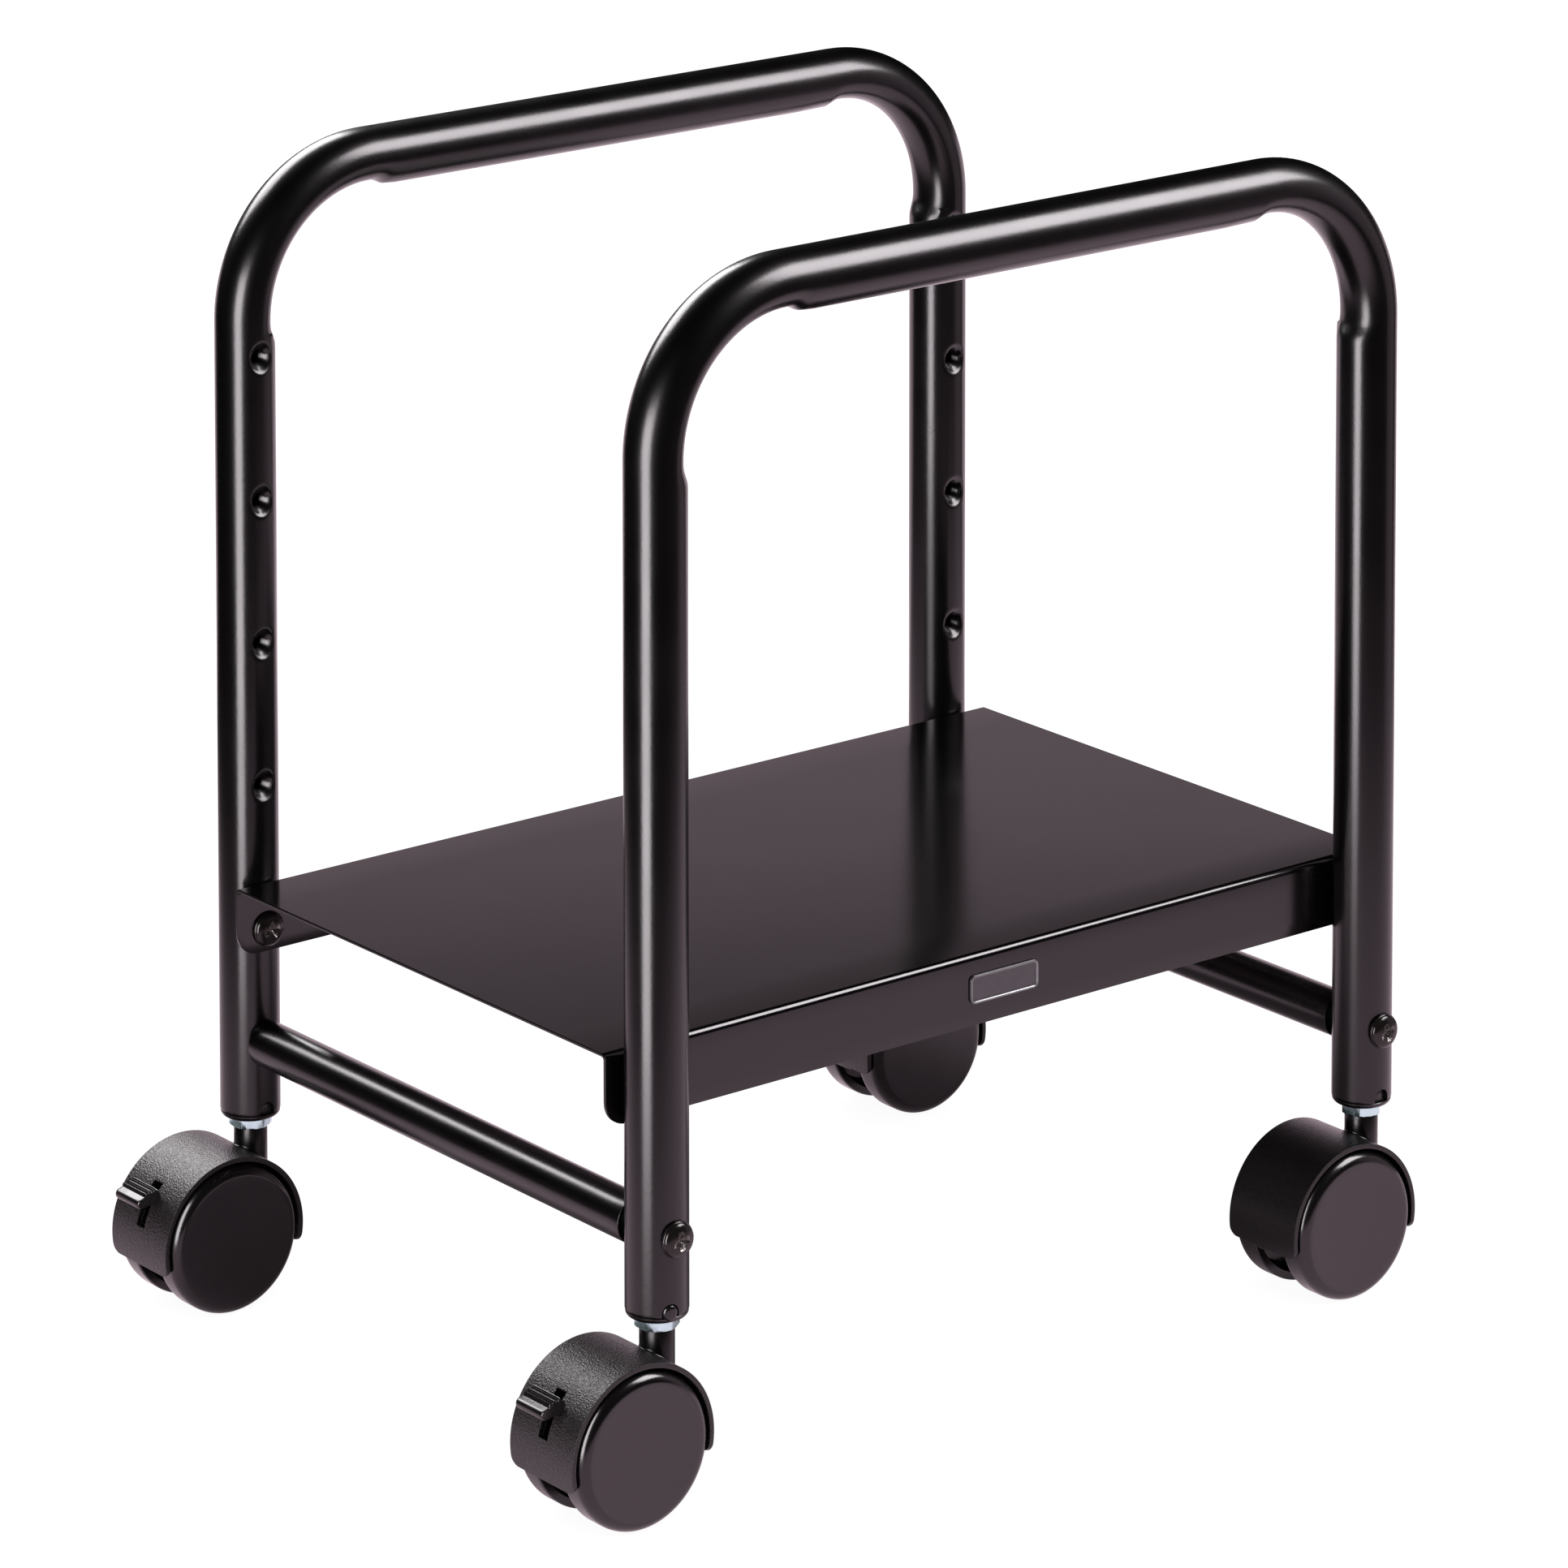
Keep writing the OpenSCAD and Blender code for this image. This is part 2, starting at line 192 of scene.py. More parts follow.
COAT = surface("powder_coat", (0.0008, 0.0006, 0.0007), (0.0012, 0.0009, 0.0011), 60, 0.235, 0.275, 40,
               [(900, 0.05, 0.0004), (2600, 0.05, 0.0001)])
SHELF = surface("powder_coat_sheet", (0.0010, 0.0008, 0.0009), (0.0015, 0.0012, 0.0014), 25, 0.145, 0.17, 20,
                [(1100, 0.04, 0.0003), (3200, 0.04, 0.0001)])
HOOD = surface("grained_plastic", (0.0018, 0.0015, 0.0017), (0.0036, 0.0031, 0.0033), 300, 0.34, 0.48, 900,
               [(4200, 0.4, 0.0001)], grain=(1500, 0.55, 0.0003))
# Darker, less reflective copy of the hood plastic for the hoods without a brake: painted shade. Its grain is also
# weaker and its roughness lower.
HOOD_SHADED = surface("moulded_plastic", (0.0016, 0.0013, 0.0015), (0.0026, 0.0022, 0.0024), 300, 0.30, 0.40, 900,
                     [(3600, 0.3, 0.0001)], spec=0.40, grain=(1400, 0.25, 0.0003))
WHEEL = surface("wheel_plastic", (0.0030, 0.0025, 0.0028), (0.0042, 0.0036, 0.0040), 40, 0.16, 0.21, 60,
                [(700, 0.04, 0.0003), (3500, 0.05, 0.00006)])
WHEEL_FACE = surface("wheel_face", (0.0036, 0.0025, 0.0031), (0.0048, 0.0034, 0.0041), 50, 0.30, 0.36, 60,
                     [(900, 0.10, 0.0002), (3500, 0.08, 0.00006)], spec=0.62)
LEVER = surface("lever_plastic", (0.0035, 0.0030, 0.0032), (0.0060, 0.0053, 0.0056), 200, 0.20, 0.28, 300,
                [(1800, 0.15, 0.0001)])
# Neck plastic, darker and less reflective than the rest of the hood: painted shade.
NECK_SHADED = surface("neck_plastic", (0.0004, 0.0003, 0.0004), (0.0009, 0.0007, 0.0008), 200, 0.24, 0.32, 300,
                [(1800, 0.15, 0.0001)], spec=0.28)
PLUGM = surface("plug_plastic", (0.0030, 0.0025, 0.0028), (0.0050, 0.0043, 0.0046), 200, 0.20, 0.27, 300,
                [(1800, 0.12, 0.0001)])
SCREWM = surface("black_screw", (0.010, 0.008, 0.008), (0.018, 0.014, 0.013), 400, 0.14, 0.22, 500,
                 [(1500, 0.10, 0.0001)], metallic=0.45)
# Recess walls in a brighter metal than the black head: painted glints.
RECESS_GLINT = surface("screw_recess", (0.05, 0.045, 0.045), (0.22, 0.20, 0.19), 900, 0.16, 0.30, 700,
                  [(1400, 0.5, 0.0004)], metallic=0.9)
ZINC = surface("bright_zinc", (0.50, 0.70, 0.72), (0.62, 0.82, 0.84), 250, 0.14, 0.26, 350,
               [(1200, 0.08, 0.0001)], metallic=1.0)
PLATE = surface("plate_metal", (0.075, 0.070, 0.076), (0.100, 0.094, 0.102), 300, 0.32, 0.42, 500,
                [(2500, 0.2, 0.00008)], metallic=0.7)
PLATE_EDGE = surface("plate_border", (0.20, 0.20, 0.21), (0.26, 0.26, 0.27), 300, 0.34, 0.44, 500,
                     [(2500, 0.1, 0.00008)], metallic=0.8)


# ------------------------------------------------------------------ mesh helpers
def obj_from(name, verts, faces, mats, body, repl=(), angle=35, mat_ids=None):
    me = bpy.data.meshes.new(name)
    me.from_pydata([(x * MM, y * MM, z * MM) for x, y, z in verts], [], faces)
    bm = bmesh.new()
    bm.from_mesh(me)
    if mat_ids:
        bm.faces.ensure_lookup_table()
        for f, i in zip(bm.faces, mat_ids):
            f.material_index = i
    bmesh.ops.remove_doubles(bm, verts=bm.verts, dist=1e-7)
    bmesh.ops.recalc_face_normals(bm, faces=bm.faces)
    bm.to_mesh(me)
    bm.free()
    for m in (mats if isinstance(mats, (list, tuple)) else [mats]):
        me.materials.append(m)
    ob = bpy.data.objects.new(name, me)
    bpy.context.scene.collection.objects.link(ob)
    smooth(ob, angle)
    if body:
        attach(ob, body)
    if repl:
        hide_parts(*repl)
    return ob


def smooth(ob, angle=35):
    me = ob.data
    me.shade_smooth()
    me.set_sharp_from_angle(angle=math.radians(angle))


def bake(ob):
    """Applies the modifiers, so the piece is a plain mesh."""
    dg = bpy.context.evaluated_depsgraph_get()
    dg.update()
    me = bpy.data.meshes.new_from_object(ob.evaluated_get(dg))
    old = ob.data
    ob.modifiers.clear()
    ob.data = me
    bpy.data.meshes.remove(old)


def bevel(ob, width, segments=2, angle=40):
    m = ob.modifiers.new("bevel", "BEVEL")
    m.width = width * MM
    m.segments = segments
    m.limit_method = "ANGLE"
    m.angle_limit = math.radians(angle)
    m.use_clamp_overlap = True
    m.miter_outer = "MITER_ARC"
    return m


def cut(ob, *tools, op="DIFFERENCE"):
    for t in tools:
        m = ob.modifiers.new("cut", "BOOLEAN")
        m.material_mode = "TRANSFER"
        m.operation = op
        m.solver = "EXACT"
        m.object = t
    bake(ob)
    for t in tools:
        me = t.data
        bpy.data.objects.remove(t)
        bpy.data.meshes.remove(me)


def loft(rings, closed_ends=(True, True), wrap=True):
    """Rings of equal length to vertices and faces."""
    verts, faces = [], []
    n = len(rings[0])
    for r in rings:
        verts += r
    for i in range(len(rings) - 1):
        for j in range(n if wrap else n - 1):
            k = (j + 1) % n
            faces.append((i * n + j, i * n + k, (i + 1) * n + k, (i + 1) * n + j))
    if closed_ends[0]:
        faces.append(tuple(range(n))[::-1])
    if closed_ends[1]:
        faces.append(tuple((len(rings) - 1) * n + j for j in range(n)))
    return verts, faces


def lathe(profile, n=96, place=None):
    """(r, h) pairs turned about the local Z axis. Ends at r = 0 close in one point."""
    rings = []
    for r, h in profile:
        rings.append([(r * math.cos(2 * math.pi * j / n), r * math.sin(2 * math.pi * j / n), h) for j in range(n)])
    v, f = loft(rings, (profile[0][0] > 1e-6, profile[-1][0] > 1e-6))
    if place:
        v = [place(*p) for p in v]
    return v, f


def prism(poly, y0, y1, place):
    """A polygon in local (x, z) pushed along y."""
    n = len(poly)
    v = [place(x, y0, z) for x, z in poly] + [place(x, y1, z) for x, z in poly]
    f = [tuple(range(n)), tuple(range(2 * n - 1, n - 1, -1))]
    for i in range(n):
        k = (i + 1) % n
        f.append((i, k, n + k, n + i))
    return v, f


def joined(parts):
    v, f = [], []
    for pv, pf in parts:
        b = len(v)
        v += pv
        f += [tuple(b + i for i in face) for face in pf]
    return v, f


def arc(cx, cz, r, a0, a1, n):
    return [(cx + r * math.cos(math.radians(a0 + (a1 - a0) * i / n)),
             cz + r * math.sin(math.radians(a0 + (a1 - a0) * i / n))) for i in range(n + 1)]


def s01(t):
    t = min(1.0, max(0.0, t))
    return t * t * (3 - 2 * t)


# ------------------------------------------------------------------ hoops
N = 96
PINCH = 2.6


def smin(a, b, k):
    h = max(k - abs(a - b), 0.0) / k
    return min(a, b) - h * h * k / 4


def section(c, w, pinch, r=None):
    r = r or TR
    ring = []
    for j in range(N):
        a = 2 * math.pi * j / N
        xi, y = r * math.cos(a), r * math.sin(a)
        if xi > 0:
            xi *= 1 - pinch / TR
        ring.append((c[0] + w[0] * xi, c[1] + y, c[2] + w[2] * xi))
    return ring


KEY_TURN = {"front_left": -12.0}


def turned(x, y, deg):
    c, q = math.cos(math.radians(deg)), math.sin(math.radians(deg))
    return c * x - q * y, q * x + c * y


def hoop(node, cy, side):
    """side: +1 when the tapped dimples face +Y."""
    leg_top = TOP_Z - BEND
    zs = [TUBE_END, TUBE_END + 0.15, TUBE_END + 0.5, TUBE_END + 1.2]
    z = TUBE_END + 3
    marks = []
    for h in HOLES:
        while z < h - 8 - 3:
            zs.append(z)
            z += 5.5
        marks.append((len(zs), len(zs) + 8))
        zs += [h - 8 + 2 * i for i in range(9)]
        z = h + 12
    z = zs[-1] + 0.9
    while z < leg_top - 0.3:
        zs.append(z)
        z += 0.9
    zs.append(leg_top)
    k0 = N // 4 if side > 0 else 3 * N // 4

    def pinch_at(before):
        t = min(1.0, max(0.0, -before / 9.0))
        return PINCH * (1 - s01(t ** 1.3))

    legs = {}
    for s in (-1, 1):
        col = []
        for i, z in enumerate(zs):
            r = TR
            if i == 0:
                r = TR - 0.45
            elif i == 1:
                r = TR - 0.13
            col.append(section((s * GX, cy, z), (-s, 0, 0), pinch_at(z - leg_top), r))
        legs[s] = col
    rings = legs[-1][:]
    steps = 36
    for i in range(1, steps):
        a = math.radians(90 * i / steps)
        c = (-GX + BEND - BEND * math.cos(a), cy, leg_top + BEND * math.sin(a))
        w = (math.cos(a), 0, -math.sin(a))
        rings.append(section(c, w, PINCH))
    bar = 2 * (GX - BEND)
    xs = [0.0] + [0.9 * i for i in range(1, 9)]
    x = 12.0
    while x < bar - 14:
        xs.append(x)
        x += 8
    xs += [bar - 7.2 + 0.9 * i for i in range(9)]
    for x in xs:
        p = max(pinch_at(-x), pinch_at(x - bar))
        rings.append(section((-GX + BEND + x, cy, TOP_Z), (0, 0, -1), p))
    for i in range(1, steps):
        a = math.radians(90 * (1 - i / steps))
        c = (GX - BEND + BEND * math.cos(a), cy, leg_top + BEND * math.sin(a))
        w = (-math.cos(a), 0, -math.sin(a))
        rings.append(section(c, w, PINCH))
    rings += legs[1][::-1]
    total = len(rings)
    skip = set()
    holes = []
    for m0, m1 in marks:
        holes.append((m0, m1, -1))
        holes.append((total - 1 - m1, total - 1 - m0, 1))
    cols = [(k0 - 12 + j) % N for j in range(25)]
    for m0, m1, s in holes:
        for i in range(m0, m1):
            for j in range(24):
                skip.add((i, cols[j]))
    verts, faces = [], []
    for r in rings:
        verts += r
    for i in range(total - 1):
        for j in range(N):
            if (i, j) in skip:
                continue
            k = (j + 1) % N
            faces.append((i * N + j, i * N + k, (i + 1) * N + k, (i + 1) * N + j))
    # pressed dimples with a threaded throat
    r0 = 3.05
    for m0, m1, s in holes:
        edge = [(m0, cols[j]) for j in range(24)] + [(i, cols[24]) for i in range(m0, m1)]
        edge += [(m1, cols[j]) for j in range(24, 0, -1)] + [(i, cols[0]) for i in range(m1, m0, -1)]
        zc = (rings[m0][0][2] + rings[m1][0][2]) / 2
        n = len(edge)
        prev = [i * N + j for i, j in edge]
        pts = [verts[p] for p in prev]
        loc = [(p[0] - s * GX, p[2] - zc) for p in pts]
        for t in [0.9, 0.8, 0.7, 0.6, 0.5, 0.4, 0.3, 0.2, 0.1, 0.0]:
            ring = []
            for u, v in loc:
                d = math.hypot(u, v)
                cu, cv = u / d * r0, v / d * r0
                px, pz = cu + (u - cu) * t, cv + (v - cv) * t
                rho = math.hypot(px, pz)
                yt = math.sqrt(max(TR * TR - px * px, 0))
                yc = TR - 2.4 + (rho - r0) * 0.86
                ring.append(len(verts))
                verts.append((s * GX + px, cy + side * smin(yt, yc, 0.8), zc + pz))
            for j in range(n):
                k = (j + 1) % n
                faces.append((prev[j], prev[k], ring[k], ring[j]))
            prev = ring
        prof = [(2.80, TR - 2.7)]
        y = TR - 2.9
        while y > 4.6:
            prof += [(3.0, y - 0.12), (2.65, y - 0.5)]
            y -= 1.0
        prof += [(2.65, 4.0), (4.5, 3.9), (4.5, -4.5)]
        for r, y in prof:
            ring = []
            for u, v in loc:
                d = math.hypot(u, v)
                ring.append(len(verts))
                verts.append((s * GX + u / d * r, cy + side * y, zc + v / d * r))
            for j in range(n):
                k = (j + 1) % n
                faces.append((prev[j], prev[k], ring[k], ring[j]))
            prev = ring
        faces.append(tuple(prev))
    # the open tube ends, closed a little way up around the plug
    for i, s in ((0, -1), (total - 1, 1)):
        prev = [i * N + j for j in range(N)]
        for r, z in ((TR - 1.45, TUBE_END), (TR - 1.45, TUBE_END + 2.5)):
            ring = []
            for j in range(N):
                a = 2 * math.pi * j / N
                ring.append(len(verts))
                verts.append((s * GX - s * r * math.cos(a), cy + r * math.sin(a), z))
            for j in range(N):
                k = (j + 1) % N
                faces.append((prev[j], prev[k], ring[k], ring[j]))
            prev = ring
        faces.append(tuple(prev))
    ob = obj_from(node + "_tube", verts, faces, COAT, "frame", (node,), 40)
    tools = []
    for s in (-1, 1):
        for t in (-1, 1):
            poly = [(-3.2, -3.2)] + arc(0, 4, 3.2, 180, 0, 20) + [(3.2, -3.2)]
            turn = KEY_TURN.get("front_left", 0) if (s < 0 and cy < 0) else 0.0

            def key_at(x, y, z, s=s, turn=turn):
                a, b = turned(x, y, turn)
                return (s * GX + a, cy + b, FOOT + z)
            v, f = prism(poly, t * 7.5, t * 14, key_at)
            c = obj_from("key_cutter", v, f, COAT, None)
            tools.append(c)
    cut(ob, *tools)
    smooth(ob, 32)
    return ob



for node, cy, side in (("front_hoop", -GY, 1), ("rear_hoop", GY, -1)):
    hoop(node, cy, side)


# ------------------------------------------------------------------ crossbars
for node, s in (("left_crossbar", -1), ("right_crossbar", 1)):
    lo, hi = mm(node)
    r = (hi[2] - lo[2]) / 2
    cz = (hi[2] + lo[2]) / 2
    half = (hi[1] - lo[1]) / 2
    prof = [(r - 1.5, half - 3), (r - 1.5, half - 0.4), (r - 1.3, half - 0.05), (r - 1.1, half)]
    prof += [(r - 0.3, half), (r - 0.12, half - 0.04), (r - 0.03, half - 0.14), (r, half - 0.35)]
    ys = [half - 4 - i * 8 for i in range(int((2 * half - 8) / 8) + 1)]
    prof += [(r, y) for y in ys]
    prof += [(a, -b) for a, b in prof[:8]][::-1]
    v, f = lathe(prof, 96, lambda x, y, z, s=s, cz=cz: (s * GX + x, z, cz + y))
    obj_from(node + "_tube", v, f, COAT, "frame", (node,), 32)


# ------------------------------------------------------------------ shelf
lo, hi = mm("shelf")
SX, SY, SD = hi[0], hi[1], -lo[2]
T, FR, CR = 1.2, 2.4, 9.0


def shelf_section(x):
    d = SX - abs(x)
    zb = -SD if d >= CR else -SD + CR - math.sqrt(max(CR * CR - (CR - d) ** 2, 0))
    out = []
    for t in (1, -1):
        side = [(t * SY, zb)]
        side += [(t * SY, zb + (-FR - zb) * q) for q in (0.25, 0.5, 0.75)]
        side += [(t * (SY - FR + FR * math.cos(math.radians(a))), -FR + FR * math.sin(math.radians(a))) for a in range(0, 91, 9)]
        side += [(t * (SY - FR) * q, 0) for q in (0.8, 0.6, 0.4, 0.2)]
        out.append(side)
    outer = out[0] + [(0, 0)] + out[1][::-1]
    ri = FR - T
    out = []
    for t in (1, -1):
        side = [(t * (SY - T), zb)]
        side += [(t * (SY - T), zb + (-FR - zb) * q) for q in (0.25, 0.5, 0.75)]
        side += [(t * (SY - FR + ri * math.cos(math.radians(a))), -FR + ri * math.sin(math.radians(a))) for a in range(0, 91, 9)]
        side += [(t * (SY - FR) * q, -T) for q in (0.8, 0.6, 0.4, 0.2)]
        out.append(side)
    inner = out[0] + [(0, -T)] + out[1][::-1]
    return [(x, y, z) for y, z in outer + inner[::-1]]


xs = [CR * (1 - math.cos(math.radians(a))) for a in range(0, 91, 9)]
xs = [-SX + d for d in xs] + [-SX + CR + (2 * SX - 2 * CR) * i / 24 for i in range(1, 24)] + [SX - d for d in xs[::-1]]
rings = [shelf_section(x) for x in xs]
n = len(rings[0])
v, f = loft(rings, (False, False))
half = n // 2
for e in (0, len(rings) - 1):
    for j in range(half - 1):
        f.append((e * n + j, e * n + j + 1, e * n + n - 2 - j, e * n + n - 1 - j))
shelf = obj_from("shelf_tray", v, f, SHELF, "frame", ("shelf",), 35)
bevel(shelf, 0.32, 3, 50)
bake(shelf)
smooth(shelf, 35)


# ------------------------------------------------------------------ screws
def screw_head(name, place, cutters_at=0.0):
    """Seat at h = 0, domed head above, tapered cross recess."""
    R, H = 6.6, 3.4
    prof = [(0, -2.0), (2.9, -2.0), (3.0, 0.0), (R - 0.35, 0.0), (R - 0.1, 0.1), (R, 0.3), (R, 0.7), (R - 0.1, 0.95), (R - 0.3, 1.1)]
    base = (R - 0.3, 1.1)
    for i in range(1, 15):
        t = i / 14
        a = math.radians(90 * t)
        prof.append((base[0] * math.cos(a) ** 0.92 if t < 1 else 0, base[1] + (H - base[1]) * math.sin(a)))
    v, f = lathe(prof, 64, place)
    # the cutters pass the brighter recess metal on to the recess walls, which paints glints into the recess
    tools = []
    for k in (0, 1):
        pts = []
        for h, w, l in ((H + 0.4, 1.30, 4.1), (H - 0.9, 1.0, 3.0), (H - 2.0, 0.5, 1.1)):
            ring = [(-l, -w), (-l + w * 0.4, -w), (l - w * 0.4, -w), (l, -w * 0.8), (l, w * 0.8), (l - w * 0.4, w), (-l + w * 0.4, w), (-l, w * 0.8)]
            ring[0] = (-l, -w * 0.8)
            pts.append([place(*((x, y) if k == 0 else (-y, x)), h) for x, y in ring])
        tv, tf = loft(pts)
        tools.append(obj_from("recess_cutter", tv, tf, RECESS_GLINT, None))
    return v, f, tools


def rot(a):
    c, s_ = math.cos(math.radians(a)), math.sin(math.radians(a))
    return lambda x, y: (c * x - s_ * y, s_ * x + c * y)


def screws(group, spots, z):
    for name, x0, y0, out, turn in spots:
        q = rot(turn)

        def place(x, y, h, q=q):
            a, b = q(x, y)
            return (x0 + a, y0 + out * h, z + b)
        v, f, tools = screw_head(name, place)
        ob = obj_from(name, v, f, SCREWM, "frame", (group,), 28)
        cut(ob, *tools)
        bevel(ob, 0.12, 2, 50)
        bake(ob)
        smooth(ob, 35)


def low_head(name, x0, y0, z0, out):
    prof = [(0, -2.0), (2.9, -2.0), (3.0, 0.0), (4.75, 0.0), (4.95, 0.1), (5.0, 0.25), (4.95, 0.4), (4.75, 0.5), (2.3, 0.5), (2.1, 0.42), (2.0, 0.2), (2.0, -1.4), (0, -1.6)]
    v, f = lathe(prof, 64, lambda x, y, h: (x0 + x, y0 + out * h, z0 + y))
    obj_from(name, v, f, SCREWM, "frame", ("crossbar_screws",), 30)


BAR_Z = (mm("left_crossbar")[0][2] + mm("left_crossbar")[1][2]) / 2
screws("crossbar_screws", [("crossbar_screw_" + leg, s * GX, t * (GY + TR), t, {"front_left": 8, "front_right": 20}.get(leg, 30))
                           for leg, (s, t) in LEGS.items() if t < 0], BAR_Z)
for leg, (s, t) in LEGS.items():
    if t > 0:
        low_head("crossbar_screw_" + leg, s * GX, t * (GY + TR), BAR_Z, t)
lo, hi = mm("shelf_screws")
screws("shelf_screws", [("shelf_screw_" + leg, s * GX, t * (SY - T), -t, 15) for leg, (s, t) in LEGS.items()], (lo[2] + hi[2]) / 2)


# ------------------------------------------------------------------ nameplate
lo, hi = mm("nameplate")
cx, cz = (lo[0] + hi[0]) / 2, (lo[2] + hi[2]) / 2
w, h = (hi[0] - lo[0]) / 2, (hi[2] - lo[2]) / 2


def rounded(w, h, r, n=8):
    pts = []
    for sx, sz, a0 in ((1, 1, 0), (-1, 1, 90), (-1, -1, 180), (1, -1, 270)):
        pts += arc(sx * (w - r), sz * (h - r), r, a0, a0 + 90, n)
    return pts


levels = [(w, h, 2.2, hi[1]), (w, h, 2.2, lo[1] + 0.25), (w - 0.08, h - 0.08, 2.15, lo[1] + 0.08), (w - 0.25, h - 0.25, 2.0, lo[1]),
          (w - 0.65, h - 0.65, 1.7, lo[1]), (w - 0.82, h - 0.82, 1.55, lo[1] + 0.08), (w - 0.9, h - 0.9, 1.5, lo[1] + 0.3),
          (w - 1.1, h - 1.1, 1.3, lo[1] + 0.4), (w - 1.6, h - 1.6, 0.9, lo[1] + 0.4)]
rings = [[(cx + x, y, cz + z) for x, z in rounded(a, b, c)] for a, b, c, y in levels]
v, f = loft(rings)
nr = len(rings[0])
ids = [0] * len(f)
for i in range(3 * nr, 6 * nr):
    ids[i] = 1
obj_from("nameplate_badge", v, f, [PLATE, PLATE_EDGE], "frame", ("nameplate",), 50, ids)


# ------------------------------------------------------------------ leg plugs and stems
for leg, (s, t) in LEGS.items():
    px, py = s * GX, t * GY

    def at(x, y, z, px=px, py=py):
        return (px + x, py + y, FOOT + z)
    prof = [(0, 0.25), (7.6, 0.25), (8.2, 0.0)] + [(TR - a, b) for a, b in (
        (2.1, 0.0), (1.5, 0.12), (1.0, 0.38), (0.6, 0.75), (0.32, 1.2), (0.18, 1.6), (0.18, 2.0), (0.3, 2.16), (1.1, 2.2), (1.6, 2.24), (1.6, 6.0))] + [(0, 6.0)]
    parts = [lathe(prof, 96, at)]
    v, f = joined(parts)
    obj_from(leg + "_plug_rim", v, f, PLUGM, "frame", (leg + "_plug",), 35)
    for d in (-1, 1):
        proud = TR + 0.35 if leg == "front_left" else TR - 1.5
        turn = KEY_TURN.get(leg, 0.0)
        poly = arc(0, 3.9, 2.9, 265, -85, 44)
        rings = []
        for inset, dy in ((0, 8.4), (0, proud - 1.0), (0.12, proud - 0.62), (0.42, proud - 0.30), (0.95, proud - 0.08), (1.7, proud)):
            ring = []
            for x, z in poly:
                cxk, czk = 0, 4.0
                kx, kz = 1 - inset / 2.9, 1 - inset / 3.0
                xx, zz = cxk + (x - cxk) * kx, czk + (z - czk) * kz
                yy = dy - (TR - math.sqrt(TR * TR - xx * xx)) * 0.9
                ring.append(at(*turned(xx, d * yy, turn), zz))
            rings.append(ring)
        v, f = loft(rings)
        key = obj_from(f"{leg}_key_{'a' if d < 0 else 'b'}", v, f, PLUGM, "frame", (leg + "_plug",), 35)

    turn = {"front_left": 30, "rear_left": 30, "front_right": -16.5, "rear_right": 12}[leg]
    hexr = 14 / math.sqrt(3)
    rings = []
    for z, k in ((-0.05, 0.86), (-0.25, 0.93), (-0.6, 1.0), (-3.55, 1.0), (-3.85, 0.93), (-4.05, 0.86)):
        ring = []
        for j in range(72):
            a = math.radians(turn + 5 * j)
            b = (5 * j) % 60 - 30
            rr = 7 / math.cos(math.radians(b))
            rr = min(rr, hexr * 0.985)
            rr = min(rr, hexr * k * 1.0) if k < 1 else rr
            ring.append(at(rr * math.cos(a), rr * math.sin(a), z))
        rings.append(ring)
    parts = [loft(rings), lathe([(0, -4.0), (4.0, -4.0), (4.0, -9.0), (3.6, -9.4), (0, -9.4)], 48, at)]
    v, f = joined(parts)
    obj_from(leg + "_stem_hex", v, f, ZINC, "frame", (leg + "_stem",), 25)


# ------------------------------------------------------------------ casters
HR, HW, HH, HLOW = 30.7, 1.8, 17.8, 8.0
WEB = 4.9
PIV = (-9.0, 6.0)
AX_DROP = FOOT - AX_Z


